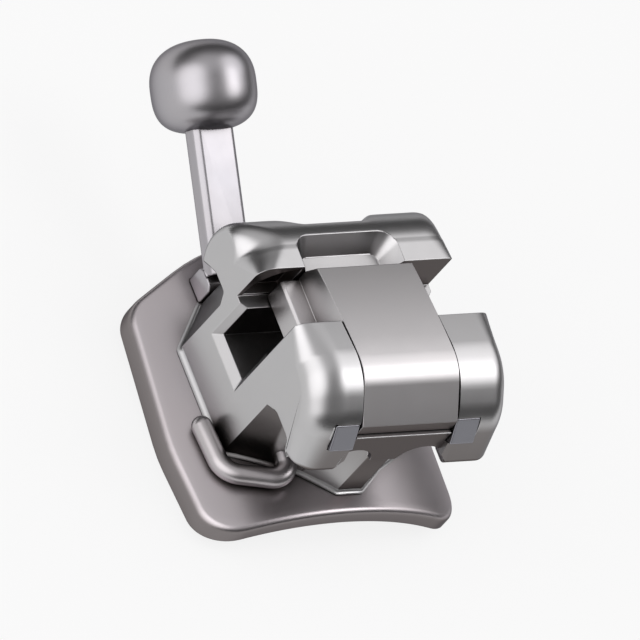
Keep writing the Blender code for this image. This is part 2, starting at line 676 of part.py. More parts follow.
def make_bracket_body(parts, cutters):
    body = extruded("bracket_body", neck_outline(), -OVERSHOOT, NECK_FRONT,
                    PLANE_XY, parts, is_cutter=False)
    boolean(body, make_upper_wings(cutters), "UNION")
    boolean(body, make_lower_wings(cutters), "UNION")
    boolean(body, pad_seat("pad_seat", cutters), "DIFFERENCE")
    boolean(body, width_guide(cutters), "INTERSECT")
    boolean(body, slot_cutter(cutters), "DIFFERENCE")
    for side in (-1, 1):
        boolean(body, flare_cutter(side, cutters), "DIFFERENCE")
    channel = BAND_HALF_WIDTH + SLIDE_GAP
    band_space = extruded("band_space", rounded([
        (0.0, BAND_REAR - SLIDE_GAP, 0.0),
        (0.0, BAND_BROW_FRONT + OVERSHOOT, 0.0),
        (LOWER_TIP_Y - OVERSHOOT, BAND_BROW_FRONT + OVERSHOOT, 0.0),
        (LOWER_TIP_Y - OVERSHOOT, BAND_REAR - SLIDE_GAP, 0.0),
    ]), -channel, channel, PLANE_YZ, cutters)
    boolean(body, band_space, "DIFFERENCE")
    runner_space = extruded("runner_space", runner_outline(SLIDE_GAP),
                            runner_end() - DOOR_TRAVEL - 2 * SLIDE_GAP,
                            UPPER_UNDERSIDE / 2, PLANE_ZX, cutters)
    boolean(body, runner_space, "DIFFERENCE")
    for side, name in ((-1, "pocket_left"), (1, "pocket_right")):
        pocket = plug_box(name, side, BAND_HALF_WIDTH, PLUG_OUTER_X + SEAT_GAP,
                          PLUG_LENGTH + 2 * SEAT_GAP, PLUG_DEPTH + SEAT_GAP,
                          PLUG_DEPTH, cutters, True)
        boolean(body, pocket, "DIFFERENCE")
    boolean(body, recess_cutter(cutters), "DIFFERENCE")
    boolean(body, wire_hole(cutters), "DIFFERENCE")
    body.data.materials.append(steel("body_steel", (0.55, 0.54, 0.54), 0.32))
    return body


def recess_cutter(cutters):
    """The hollow between the upper wings, for the tool that opens the door."""
    low = UPPER_UNDERSIDE - RECESS_CORNER_RADIUS
    rise = UPPER_FRONT - RECESS_FLOOR
    points = []
    for height in (0.0, 1.0 + RECESS_OVERRUN):
        half = RECESS_FLOOR_HALF_WIDTH + height * (RECESS_HALF_WIDTH - RECESS_FLOOR_HALF_WIDTH)
        top = RECESS_FLOOR_TOP + height * (RECESS_TOP - RECESS_FLOOR_TOP)
        corner = RECESS_FLOOR_CORNER_RADIUS + height * (RECESS_CORNER_RADIUS - RECESS_FLOOR_CORNER_RADIUS)
        outline = rounded(mirrored([(half, low, 0.0), (half, top, corner)]))
        points += [(point.x, point.y, RECESS_FLOOR + height * rise) for point in outline]
    return hull("tool_recess", points, cutters)


def stem_matrix():
    """From the stem's own frame, with Z up the stem and the ball's centre at 0, to the object's."""
    along = Vector((0.0, math.cos(STEM_SLANT), math.sin(STEM_SLANT)))
    across = along.cross(Vector((1.0, 0.0, 0.0)))
    turn = Matrix(((1.0, across.x, along.x), (0.0, across.y, along.y), (0.0, across.z, along.z)))
    return Matrix.Translation((STEM_X, BALL_Y, BALL_Z)) @ turn.to_4x4()


def make_ball(collection):
    """The ball, turned round the stem's axis from a squarish half circle."""
    mesh = bpy.data.meshes.new("ball_profile")
    work = bmesh.new()
    before = None
    for step in range(BALL_RINGS + 1):
        angle = math.pi / 2 - math.pi * step / BALL_RINGS
        power = 2.0 / (BALL_TOP_SQUARENESS if angle > 0 else BALL_BOTTOM_SQUARENESS)
        x = BALL_RADIUS * max(0.0, math.cos(angle)) ** power
        z = math.copysign(BALL_HALF_HEIGHT * abs(math.sin(angle)) ** power, math.sin(angle))
        if step in (0, BALL_RINGS):
            x = 0.0
        here = work.verts.new((x, 0.0, z))
        if before:
            work.edges.new((before, here))
        before = here
    work.to_mesh(mesh)
    work.free()
    ball = place("ball", mesh, collection)
    turned = ball.modifiers.new("turned", "SCREW")
    turned.steps = BALL_SEGMENTS
    turned.render_steps = BALL_SEGMENTS
    turned.use_merge_vertices = True
    turned.merge_threshold = WELD_DISTANCE
    turned.use_normal_calculate = True
    ball.matrix_world = stem_matrix()
    bpy.context.view_layer.update()
    return applied(ball, collection)


def make_ball_hook(parts, cutters):
    half = STEM_WIDTH / 2
    deep = STEM_DEPTH / 2
    cut = STEM_CHAMFER
    section = rounded([
        (half, cut - deep, 0.0), (half, deep - cut, 0.0),
        (half - cut, deep, 0.0), (cut - half, deep, 0.0),
        (-half, deep - cut, 0.0), (-half, cut - deep, 0.0),
        (cut - half, -deep, 0.0), (half - cut, -deep, 0.0),
    ])
    hook = extruded("ball_hook", section, -STEM_LENGTH, 0.0, stem_matrix(), parts, is_cutter=False)
    foot = extruded("foot", rounded([
        (FOOT_BOTTOM, -STEM_DEPTH, 0.0),
        (FOOT_BOTTOM, FOOT_FRONT - FOOT_CHAMFER, 0.0),
        (FOOT_BOTTOM + FOOT_CHAMFER, FOOT_FRONT, 0.0),
        (FOOT_TOP - FOOT_CHAMFER, FOOT_FRONT, 0.0),
        (FOOT_TOP, FOOT_FRONT - FOOT_CHAMFER, 0.0),
        (FOOT_TOP, -STEM_DEPTH, 0.0),
    ]), STEM_X - half - SEAT_GAP, STEM_X + half + SEAT_GAP, PLANE_YZ, cutters)
    boolean(hook, foot, "UNION")
    boolean(hook, make_ball(cutters), "UNION")
    boolean(hook, pad_seat("foot_seat", cutters), "DIFFERENCE")
    hook.data.materials.append(steel("hook_steel", (0.60, 0.58, 0.59), 0.25))
    return hook


def bent_path(corners, radius, steps):
    """A path through corners, each turned into an arc of one radius."""
    path = [Vector(corners[0])]
    for before, here, after in zip(corners, corners[1:], corners[2:]):
        here = Vector(here)
        back = (Vector(before) - here).normalized()
        onward = (Vector(after) - here).normalized()
        half_angle = back.angle(onward) / 2
        centre = here + (back + onward).normalized() * radius / math.sin(half_angle)
        reach = radius / math.tan(half_angle)
        start = here + back * reach - centre
        end = here + onward * reach - centre
        axis = start.cross(end)
        for step in range(steps + 1):
            path.append(centre + Matrix.Rotation(start.angle(end) * step / steps, 3, axis) @ start)
    path.append(Vector(corners[-1]))
    return path


def wire_rest(x):
    """The height of the wire's centre where it lies on the pad."""
    return pad_front(x) + WIRE_RADIUS + SEAT_GAP


def make_retaining_wire(parts):
    corners = [
        (WIRE_END_X, WIRE_END_Y, wire_rest(WIRE_END_X)),
        (WIRE_CORNER_X, WIRE_CORNER_Y, wire_rest(WIRE_CORNER_X)),
        (WIRE_TURN_X, WIRE_TURN_Y, wire_rest(WIRE_TURN_X) + WIRE_TURN_LIFT),
        (WIRE_ROOT_X, WIRE_ROOT_Y, WIRE_ROOT_Z),
    ]
    path = bent_path(corners, WIRE_BEND_RADIUS, WIRE_BEND_STEPS)
    outward = (path[0] - path[1]).normalized()
    dome = []
    for step in range(WIRE_DOME_STEPS, 0, -1):
        angle = math.radians(80) * step / WIRE_DOME_STEPS
        dome.append((path[0] + outward * WIRE_RADIUS * math.sin(angle), math.cos(angle)))
    points = dome + [(point, 1.0) for point in path]
    curve = bpy.data.curves.new("retaining_wire", "CURVE")
    curve.dimensions = "3D"
    curve.bevel_depth = WIRE_RADIUS
    curve.bevel_resolution = 4
    curve.use_fill_caps = True
    spline = curve.splines.new("POLY")
    spline.points.add(len(points) - 1)
    for target, (point, radius) in zip(spline.points, points):
        target.co = (*point, 1.0)
        target.radius = radius
    wire = bpy.data.objects.new("retaining_wire", curve)
    parts.objects.link(wire)
    curve.materials.append(steel("wire_steel", (0.50, 0.47, 0.47), 0.28))
    return wire


def wire_hole(cutters):
    """The hole in the neck's lower face that the wire's root is fixed in."""
    turn = Vector((WIRE_TURN_X, WIRE_TURN_Y, wire_rest(WIRE_TURN_X) + WIRE_TURN_LIFT))
    root = Vector((WIRE_ROOT_X, WIRE_ROOT_Y, WIRE_ROOT_Z))
    inward = (root - turn).normalized()
    return rod("wire_hole", WIRE_RADIUS + SEAT_GAP, WIRE_HOLE_SIDES, turn, root + inward * SEAT_GAP, cutters)


def build():
    clear_scene()
    parts = new_collection("orthodontic_bracket")
    cutters = new_collection("cutters")
    make_bonding_pad(parts, cutters)
    make_bracket_body(parts, cutters)
    make_sliding_door(parts, cutters)
    make_stop_plug("stop_plug_left", -1, parts)
    make_stop_plug("stop_plug_right", 1, parts)
    make_ball_hook(parts, cutters)
    make_retaining_wire(parts)


build()
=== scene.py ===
"""Self-ligating orthodontic bracket: the finished surfaces of each metal piece.

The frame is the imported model, in metres, with +X along the archwire, +Y towards the ball hook and
+Z out of the tooth. Shapes below are worked out in millimetres and become metres in make_piece.
"""

import math

import bmesh
import bpy
import numpy as np
from mathutils import Matrix, Vector


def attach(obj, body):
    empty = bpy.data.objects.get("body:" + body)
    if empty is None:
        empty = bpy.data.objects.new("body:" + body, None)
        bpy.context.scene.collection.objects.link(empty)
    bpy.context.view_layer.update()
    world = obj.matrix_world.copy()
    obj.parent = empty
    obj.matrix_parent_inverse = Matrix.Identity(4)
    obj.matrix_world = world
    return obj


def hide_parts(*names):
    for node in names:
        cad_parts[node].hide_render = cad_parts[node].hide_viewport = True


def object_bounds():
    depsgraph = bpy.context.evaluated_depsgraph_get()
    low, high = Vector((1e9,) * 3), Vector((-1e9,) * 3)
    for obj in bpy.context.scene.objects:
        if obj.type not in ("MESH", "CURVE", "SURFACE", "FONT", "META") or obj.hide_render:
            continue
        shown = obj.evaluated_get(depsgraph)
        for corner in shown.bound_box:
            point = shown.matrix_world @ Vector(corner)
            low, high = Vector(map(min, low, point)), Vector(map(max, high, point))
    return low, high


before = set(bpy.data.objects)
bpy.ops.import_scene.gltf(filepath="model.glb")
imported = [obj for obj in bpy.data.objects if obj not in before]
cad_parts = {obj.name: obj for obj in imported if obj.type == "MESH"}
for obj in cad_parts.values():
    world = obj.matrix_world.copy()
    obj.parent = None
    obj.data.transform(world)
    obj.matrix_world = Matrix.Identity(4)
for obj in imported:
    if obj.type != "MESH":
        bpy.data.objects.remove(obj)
cad_low, cad_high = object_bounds()
MM = 0.001


# The bonding pad is a thin plate of stainless steel, curved to a tooth's front and rounded at its
# rim. The body is brazed on it, and its hollow back has crossed grooves that the adhesive grips.
PAD_THICKNESS = 0.216
PAD_BACK_RADIUS = 3.26
PAD_RIM = 0.065
PAD_BACK_RIM = 0.025
PAD_POINTS = 320
PAD_RIM_STEPS = 8
PAD_FACE_RINGS = 20
PAD_CORNERS = [
    (-1.575, 1.125, 0.35), (-1.705, -0.54, 2.5), (-1.64, -1.71, 0.42), (1.64, -1.71, 0.42),
    (1.705, -0.54, 2.5), (1.58, 1.125, 0.35), (0.0, 1.879, 2.2),
]
GROOVE_PITCH = 0.34
GROOVE_WIDTH = 0.11
GROOVE_DEPTH = 0.05
GROOVE_ROWS = range(-4, 4)
GROOVE_COLUMNS = range(-3, 3)
GROOVE_ROW_END = 1.218
GROOVE_COLUMN_END = 1.32
GROOVE_COLUMN_LIFT = 0.002
BEHIND_PAD = -1.0
WELD_DISTANCE = 0.0015
SLIVER_EDGE = 0.0005
BEVEL_ANGLE = math.radians(30)


def rounded_outline(corners, arc_step=math.radians(4)):
    """Points round a polygon with corners (a, b, radius).

    A corner with a radius becomes the arc that touches both its sides. The arc's centre lies on the
    corner's bisector at radius / sin(half the corner's angle), and its points are equal angles apart.
    """
    parts = []
    for index, (a, b, radius) in enumerate(corners):
        here = np.array((a, b))
        if radius == 0:
            parts.append(here[None])
            continue
        back = np.array(corners[index - 1][:2]) - here
        onward = np.array(corners[(index + 1) % len(corners)][:2]) - here
        back = back / np.linalg.norm(back)
        onward = onward / np.linalg.norm(onward)
        half = math.acos(np.clip(back @ onward, -1, 1)) / 2
        bisector = (back + onward) / np.linalg.norm(back + onward)
        centre = here + bisector * radius / math.sin(half)
        start = here + back * radius / math.tan(half) - centre
        end = here + onward * radius / math.tan(half) - centre
        sweep = math.atan2(start[0] * end[1] - start[1] * end[0], start @ end)
        turn = np.linspace(0, sweep, max(3, math.ceil(abs(sweep) / arc_step) + 1))[:, None]
        parts.append(centre + start * np.cos(turn) + np.array((-start[1], start[0])) * np.sin(turn))
    return np.concatenate(parts)


def evenly(outline, count):
    """A closed outline's points again, at equal distances along it."""
    closed = np.vstack([outline, outline[:1]])
    run = np.concatenate([[0], np.cumsum(np.linalg.norm(np.diff(closed, axis=0), axis=1))])
    places = np.linspace(0, run[-1], count, endpoint=False)
    return np.stack([np.interp(places, run, closed[:, axis]) for axis in (0, 1)], axis=1)


def make_piece(name, points, faces):
    """A mesh object from points in millimetres, with its faces turned outwards."""
    mesh = bpy.data.meshes.new(name)
    mesh.from_pydata((np.asarray(points) * MM).tolist(), [], faces)
    work = bmesh.new()
    work.from_mesh(mesh)
    bmesh.ops.recalc_face_normals(work, faces=work.faces)
    work.to_mesh(mesh)
    work.free()
    piece = bpy.data.objects.new(name, mesh)
    bpy.context.scene.collection.objects.link(piece)
    return piece


def loft(name, rings, poles=(None, None)):
    """A closed solid over an array of rings (ring, point, xyz).

    Each ring is joined to the next by quads. An end closes on its pole, if it has one, or else with
    one flat face.
    """
    count, around = rings.shape[:2]
    index = np.arange(count * around).reshape(count, around)
    after = np.roll(index, -1, axis=1)
    quads = np.stack([index[:-1], after[:-1], after[1:], index[1:]], axis=-1).reshape(-1, 4)
    faces = quads.tolist()
    points = rings.reshape(-1, 3)
    for ring, following, pole in ((index[0], after[0], poles[0]), (index[-1], after[-1], poles[1])):
        if pole is None:
            faces.append(ring.tolist())
        else:
            points = np.vstack([points, pole])
            tip = np.full(around, len(points) - 1)
            faces += np.stack([ring, following, tip], axis=-1).tolist()
    return make_piece(name, points, faces)


def prism(name, outline, low, high, order):
    """An outline (a, b) carried straight from low to high, where order names the axes of a, b and
    the height as numbers."""
    ring = np.zeros((2, len(outline), 3))
    ring[:, :, order[0]] = outline[:, 0]
    ring[:, :, order[1]] = outline[:, 1]
    ring[0, :, order[2]] = low
    ring[1, :, order[2]] = high
    return loft(name, ring)


def cut(piece, tool, operation="DIFFERENCE"):
    """Cuts a tool out of a piece, or joins it to the piece, when the piece is settled."""
    modifier = piece.modifiers.new(tool.name, "BOOLEAN")
    modifier.operation = operation
    modifier.object = tool
    modifier.solver = "MANIFOLD"


def settle(piece):
    """Keeps what a piece's modifiers make of it, and removes the tools that they used."""
    graph = bpy.context.evaluated_depsgraph_get()
    mesh = bpy.data.meshes.new_from_object(piece.evaluated_get(graph))
    tools = [modifier.object for modifier in piece.modifiers if modifier.type == "BOOLEAN"]
    piece.modifiers.clear()
    piece.data = mesh
    for tool in tools:
        bpy.data.objects.remove(tool, do_unlink=True)


def soften(piece, width, harden=True, crisp=lambda x, y, z: False):
    """Smooth shading, with every edge sharper than 30 degrees rounded to a width in millimetres,
    other than an edge whose two ends are both crisp."""
    work = bmesh.new()
    work.from_mesh(piece.data)
    bmesh.ops.remove_doubles(work, verts=work.verts, dist=WELD_DISTANCE * MM)
    bmesh.ops.dissolve_degenerate(work, edges=work.edges, dist=SLIVER_EDGE * MM)
    weight = work.edges.layers.float.new("bevel_weight_edge")
    for edge in work.edges:
        sharp = edge.calc_face_angle(0) > BEVEL_ANGLE
        kept = all(crisp(*(vertex.co / MM)) for vertex in edge.verts)
        edge[weight] = float(sharp and not kept)
        edge.smooth = not (sharp and kept)
    work.to_mesh(piece.data)
    work.free()
    piece.data.shade_smooth()
    if width:
        edge = piece.modifiers.new("edge", "BEVEL")
        edge.width = width * MM
        edge.segments = 3
        edge.limit_method = "WEIGHT"
        edge.use_clamp_overlap = False
        edge.harden_normals = harden
    if harden:
        piece.modifiers.new("shading", "WEIGHTED_NORMAL").keep_sharp = True


# No painted shade by the way a face points.
NO_PAINTED_SHADE = ((0, 0, -1), 0.5, 1.0, 0.0)
# Painted shade on the pad's rim, on faces turned away from its front.
PAINTED_RIM_SHADE = ((0, 0, -1), -0.80, -0.30, 0.78)
DULL_GLANCE = (0.30, 0.30, 0.31, 1)
# Painted shade: how far ambient occlusion reaches, and the dark colour that deep corners and recesses
# are painted towards.
PAINTED_SHADE_REACH = 0.40
PAINTED_CORNER_SHADE = (0.14, 0.125, 0.12, 1)
DRIFT_SCALE = 900
MOTTLE_SCALE = 6000
GRAIN_SCALE = 26000
GRAIN_HEIGHT = 0.003


def stainless(name, colour, tint, roughness, spread, grain, facing_shade=NO_PAINTED_SHADE):
    """Satin stainless steel. Its colour drifts between two tints over a millimetre or so, and is painted
    dark in deep corners and recesses as shade, where ambient occlusion finds them. Its roughness
    changes by a spread over a tenth of a millimetre, and its surface has a fine grain in the bump.
    Faces that point along a given direction are painted darker by a given share, as shade under a
    piece or on its rim. This painted shade grows between two cosines of the angle to that direction."""
    shade_direction, shade_from, shade_full, shade_share = facing_shade
    material = bpy.data.materials.new(name)
    material.use_nodes = True
    nodes = material.node_tree.nodes
    links = material.node_tree.links
    shader = nodes["Principled BSDF"]
    shader.inputs["Metallic"].default_value = 1.0
    shader.inputs["Specular Tint"].default_value = DULL_GLANCE
    place = nodes.new("ShaderNodeTexCoord").outputs["Object"]

    drift = nodes.new("ShaderNodeTexNoise")
    drift.inputs["Scale"].default_value = DRIFT_SCALE
    drift.inputs["Detail"].default_value = 2
    links.new(place, drift.inputs["Vector"])
    blend = nodes.new("ShaderNodeMix")
    blend.data_type = "RGBA"
    blend.inputs["A"].default_value = (*colour, 1)
    blend.inputs["B"].default_value = (*tint, 1)
    links.new(drift.outputs["Fac"], blend.inputs["Factor"])

    # Painted shade: ambient occlusion darkens deep corners and recesses towards the shade colour.
    corner = nodes.new("ShaderNodeAmbientOcclusion")
    corner.inputs["Distance"].default_value = PAINTED_SHADE_REACH * MM
    corner.samples = 8
    unoccluded = nodes.new("ShaderNodeMapRange")
    unoccluded.interpolation_type = "SMOOTHSTEP"
    unoccluded.inputs["From Min"].default_value = 0.15
    unoccluded.inputs["From Max"].default_value = 0.75
    links.new(corner.outputs["AO"], unoccluded.inputs["Value"])
    painted_shade = nodes.new("ShaderNodeMix")
    painted_shade.data_type = "RGBA"
    painted_shade.inputs["A"].default_value = PAINTED_CORNER_SHADE
    links.new(blend.outputs["Result"], painted_shade.inputs["B"])
    # Painted shade by facing: faces turned towards the given direction are darkened by its share.
    facing = nodes.new("ShaderNodeVectorMath")
    facing.operation = "DOT_PRODUCT"
    facing.inputs[1].default_value = shade_direction
    links.new(nodes["Texture Coordinate"].outputs["Normal"], facing.inputs[0])
    facing_light = nodes.new("ShaderNodeMapRange")
    facing_light.interpolation_type = "SMOOTHSTEP"
    facing_light.inputs["From Min"].default_value = shade_from
    facing_light.inputs["From Max"].default_value = shade_full
    facing_light.inputs["To Min"].default_value = 1.0
    facing_light.inputs["To Max"].default_value = 1.0 - shade_share
    links.new(facing.outputs["Value"], facing_light.inputs["Value"])
    lit_share = nodes.new("ShaderNodeMath")
    lit_share.operation = "MULTIPLY"
    links.new(unoccluded.outputs["Result"], lit_share.inputs[0])
    links.new(facing_light.outputs["Result"], lit_share.inputs[1])
    links.new(lit_share.outputs[0], painted_shade.inputs["Factor"])
    links.new(painted_shade.outputs["Result"], shader.inputs["Base Color"])

    mottle = nodes.new("ShaderNodeTexNoise")
    mottle.inputs["Scale"].default_value = MOTTLE_SCALE
    mottle.inputs["Detail"].default_value = 3
    links.new(place, mottle.inputs["Vector"])
    rough = nodes.new("ShaderNodeMapRange")
    rough.inputs["To Min"].default_value = roughness - spread
    rough.inputs["To Max"].default_value = roughness + spread
    links.new(mottle.outputs["Fac"], rough.inputs["Value"])
    links.new(rough.outputs["Result"], shader.inputs["Roughness"])

    fine = nodes.new("ShaderNodeTexNoise")
    fine.inputs["Scale"].default_value = GRAIN_SCALE
    fine.inputs["Detail"].default_value = 4
    links.new(place, fine.inputs["Vector"])
    bump = nodes.new("ShaderNodeBump")
    bump.inputs["Strength"].default_value = grain
    bump.inputs["Distance"].default_value = GRAIN_HEIGHT * MM
    links.new(fine.outputs["Fac"], bump.inputs["Height"])
    links.new(bump.outputs["Normal"], shader.inputs["Normal"])
    return material


def dress(piece, node, body, material):
    """Gives a finished piece its material and its place in the table, and hides the CAD part of the node
    that it stands for.
    """
    piece.data.materials.clear()
    piece.data.materials.append(material)
    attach(piece, body)
    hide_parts(node)


def pad_height(x, depth):
    """The pad's curve: a circle about an axis along Y, whose top at depth PAD_THICKNESS is at 0."""
    radius = PAD_BACK_RADIUS + PAD_THICKNESS - depth
    return np.sqrt(radius ** 2 - x ** 2) - PAD_BACK_RADIUS


def pad_rings():
    """The pad from its front's middle over the rim to its back's middle, as rings.

    A ring is the outline drawn in by an inset, square to itself near the rim and towards the middle
    elsewhere, and lies at one depth under the front's curve.
    """
    outline = evenly(rounded_outline(PAD_CORNERS), PAD_POINTS)
    along = np.roll(outline, -1, axis=0) - np.roll(outline, 1, axis=0)
    along /= np.linalg.norm(along, axis=1, keepdims=True)
    inward = np.stack([-along[:, 1], along[:, 0]], axis=1)
    turn = np.linspace(0, math.pi / 2, PAD_RIM_STEPS)
    insets = np.concatenate([PAD_RIM * (1 - np.sin(turn)), PAD_BACK_RIM * (1 - np.cos(turn))])
    depths = np.concatenate([PAD_RIM * (1 - np.cos(turn)),
                             PAD_THICKNESS - PAD_BACK_RIM * (1 - np.sin(turn))])
    rim = outline + inward * insets[:, None, None]
    shares = np.linspace(0.04, 0.96, PAD_FACE_RINGS)[:, None, None]
    flat = np.concatenate([rim[0] * shares, rim, rim[-1] * shares[::-1]])
    front = np.zeros(PAD_FACE_RINGS)
    back = np.full(PAD_FACE_RINGS, PAD_THICKNESS)
    depth = np.broadcast_to(np.concatenate([front, depths, back])[:, None], flat.shape[:2])
    return np.concatenate([flat, pad_height(flat[:, :, 0], depth)[:, :, None]], axis=2)


def cut_grooves(pad):
    """Crossed grooves in the pad's back.

    A row runs along X between two heights of Y, with a floor that follows the pad's curve. A column
    runs along Y, with a flat floor at the curve's height over its middle.
    """
    for row in GROOVE_ROWS:
        middle = (row + 0.5) * GROOVE_PITCH
        x = np.linspace(-GROOVE_ROW_END, GROOVE_ROW_END, 40)
        curve = np.stack([pad_height(x, PAD_THICKNESS - GROOVE_DEPTH), x], axis=1)
        section = np.vstack([curve, [(BEHIND_PAD, GROOVE_ROW_END), (BEHIND_PAD, -GROOVE_ROW_END)]])
        low = middle - GROOVE_WIDTH / 2
        high = middle + GROOVE_WIDTH / 2
        cut(pad, prism("groove_row", section, low, high, (2, 0, 1)))
    for column in GROOVE_COLUMNS:
        middle = (column + 0.5) * GROOVE_PITCH
        low = middle - GROOVE_WIDTH / 2
        high = middle + GROOVE_WIDTH / 2
        deep = pad_height(middle, PAD_THICKNESS - GROOVE_DEPTH) + GROOVE_COLUMN_LIFT
        section = np.array([(deep, low), (deep, high), (BEHIND_PAD, high), (BEHIND_PAD, low)])
        cut(pad, prism("groove_column", section, -GROOVE_COLUMN_END, GROOVE_COLUMN_END, (2, 0, 1)))


pad = loft("pad", pad_rings(), ((0, 0, PAD_THICKNESS), (0, 0, 0)))
cut_grooves(pad)
settle(pad)
soften(pad, 0)
pad.data.set_sharp_from_angle(angle=math.radians(35))
# The pad's steel is painted dark on its rim and in deep corners, as shade.
dress(pad, "bonding_pad", "bracket",
      stainless("pad_steel", (0.58, 0.53, 0.54), (0.54, 0.51, 0.53), 0.33, 0.03, 0.12, PAINTED_RIM_SHADE))


# The body is one metal injection moulding: a neck on the pad, the archwire slot across it, upper
# wings above the slot and lower wings with a web below it. The sides of the wings are rounded over.
BODY_LEFT = -1.225
BODY_RIGHT = 1.280
PAST = 1.0
STANDOFF = 0.002
BRAZE = 0.05
LEAST_DROP = 0.10
LEAST_WIDTH = 0.15
SLOT_HALF = 0.28
SLOT_FLOOR = 0.658
UPPER_UNDERSIDE = 0.442
UPPER_FRONT = 1.711
BULB_Y = 0.72
BULB_Z = 1.18
BULB_RADIUS = 0.525
BULB_END = math.radians(-42)
UPPER_NOTCH = 1.00
UPPER_DROP = 0.46
UPPER_DROP_START = math.radians(25)
UPPER_WIDTH = 0.50
UPPER_RIGHT = (0.50, 0.15)
SADDLE_TOP = 1.02
SADDLE_MIDDLE = 0.03
SADDLE_BLEND = 0.018
LOWER_TOP = -0.34
LOWER_DROP = 0.36
LOWER_WIDTH = 0.40
LOWER_RIGHT = (0.50, 0.45)
LOWER_MIDDLE = (-0.90, 1.075)
LOWER_FRONT = 1.908
NECK_SPARE = 0.02
NECK_TOP = 1.21
ARCH_RADIUS = 0.29
ARCH_X = 0.45
ARCH_Z = 0.87
WEB_BOTTOM = -1.50
POCKET_LEFT = -1.178
POCKET_LENGTH = 0.518
POCKET_ROUND = 0.5
POCKET_DROP = 0.46
POCKET_FRONT = 1.655
POCKET_REAR = 1.20
POCKET_BOTTOM = 0.40
POCKET_TOP = 0.58
FLARE_REACH = 0.07
FLARE_SIDE = 0.078
FLARE_DEPTH = 0.105
CHANNEL_HALF = 0.635
CHANNEL_FLOOR = 1.415
RUNNER_REAR = 1.180
RUNNER_FRONT = 1.520
RUNNER_HALF = 0.871
RUNNER_CORNER = (1.484, 0.837)
RUNNER_BOTTOM = -1.249
RUNNER_TOP = 0.221
PLUG_SLANT = math.radians(61.6)
PLUG_MIDDLE = (0, -1.484, 1.426)
RECESS_BOTTOM = 0.242
RECESS_FLOOR = 1.479
RECESS_RISE = 0.232
BRAZE_POINTS = 300
BRAZE_STEPS = 13
BRAZE_LIP = 0.014
BRAZE_OVERLAP = 0.03
BRAZE_TOP = 0.9
PAD_GAP = 0.010
CLEARANCE_HALF_WIDTH = 2.2
CLEARANCE_REACH = 4.0
FAR = 3.0
SIDE_RINGS = 26
MIDDLE_RINGS = 60
# Painted shade on faces that point down and back, under the wings, the web and the keel.
PAINTED_UNDERSIDE_SHADE = ((0, -0.912, -0.41), 0.55, 0.85, 0.95)


def wing(name, profile, drops, widths, right_scale):
    """A side profile (y, z) carried across the body in rings, and rounded over at both sides.

    Each point has its own drop and width. At a distance d from the side it's moved by the drop times
    1 - sqrt(1 - (1 - d / width)^2), so it follows a quarter of an ellipse into the side. On the right
    the widths and drops are scaled.
    """
    turn = np.linspace(0, math.pi / 2, SIDE_RINGS)
    near = np.max(widths) * (1 - np.sin(turn))
    left = BODY_LEFT - STANDOFF + near
    right = BODY_RIGHT + STANDOFF - near * right_scale[0]
    x = np.concatenate([left[::-1], np.linspace(left[0], right[0], MIDDLE_RINGS + 2)[1:-1], right])
    from_left = (x[:, None] - BODY_LEFT + STANDOFF) / widths
    from_right = (BODY_RIGHT + STANDOFF - x[:, None]) / (widths * right_scale[0])
    share = 1 - np.sqrt(1 - np.clip(1 - from_left, 0, 1) ** 2)
    share += right_scale[1] * (1 - np.sqrt(1 - np.clip(1 - from_right, 0, 1) ** 2))
    yz = profile[None] + drops[None] * share[:, :, None]
    rings = np.concatenate([np.broadcast_to(x[:, None, None], yz.shape[:2] + (1,)), yz], axis=2)
    return loft(name, rings)


def smooth_step(low, high, value):
    """0 below low, 1 above high, and 3 s^2 - 2 s^3 of the share s between them."""
    share = np.clip((value - low) / (high - low), 0, 1)
    return share * share * (3 - 2 * share)


def upper_profile():
    """The upper wings from the side: a bulb, and the notch behind it that a ligature goes round."""
    angles = np.linspace(math.pi / 2, BULB_END, 60)
    bulb = [(BULB_Y + BULB_RADIUS * math.cos(angle), BULB_Z + BULB_RADIUS * math.sin(angle), 0.0)
            for angle in angles]
    notch = [((0.60 + bulb[-1][0]) / 2, UPPER_NOTCH, 0.12), (0.60, UPPER_NOTCH, 0.06),
             (0.466, 0.76, 0.0)]
    front = [(y, UPPER_FRONT, 0.0) for y in np.linspace(0.10, BULB_Y, 20)[:-1]]
    return rounded_outline([(0.10, 0.95, 0.0)] + front + bulb + notch)


def upper_fillets(profile):
    """Drops towards the bulb's middle and widths, large over the front, least behind it and none
    where the profile lies within the body."""
    inward = np.stack([np.maximum(0, profile[:, 0] - BULB_Y), profile[:, 1] - BULB_Z], axis=1)
    reach = np.linalg.norm(inward, axis=1)
    share = smooth_step(UPPER_DROP_START, math.pi / 2, np.arctan2(inward[:, 1], inward[:, 0]))
    share *= smooth_step(0.30, 0.86, profile[:, 0])
    drop = LEAST_DROP + (UPPER_DROP - LEAST_DROP) * share
    drop[reach < BULB_RADIUS - STANDOFF] = 0
    drops = -inward / reach[:, None] * drop[:, None]
    return drops, LEAST_WIDTH + (UPPER_WIDTH - LEAST_WIDTH) * share


def lower_saddle(wings):
    """Lowers the wings' top between the two bulbs.

    The saddle's height rises by a smooth step from its floor to past the bulbs, over |x|. A point
    takes the soft least of its own height a and the saddle's b: -k ln(exp(-a / k) + exp(-b / k)).
    """
    points = np.empty(len(wings.data.vertices) * 3)
    wings.data.vertices.foreach_get("co", points)
    points = points.reshape(-1, 3) / MM
    rise = smooth_step(0.36, 0.86, np.abs(points[:, 0] - SADDLE_MIDDLE))
    top = SADDLE_TOP + SADDLE_BLEND * math.log(2) + 0.30 * rise
    own = points[:, 1]
    least = np.minimum(own, top)
    points[:, 1] = least - SADDLE_BLEND * np.log(np.exp((least - own) / SADDLE_BLEND)
                                                 + np.exp((least - top) / SADDLE_BLEND))
    wings.data.vertices.foreach_set("co", (points * MM).ravel())


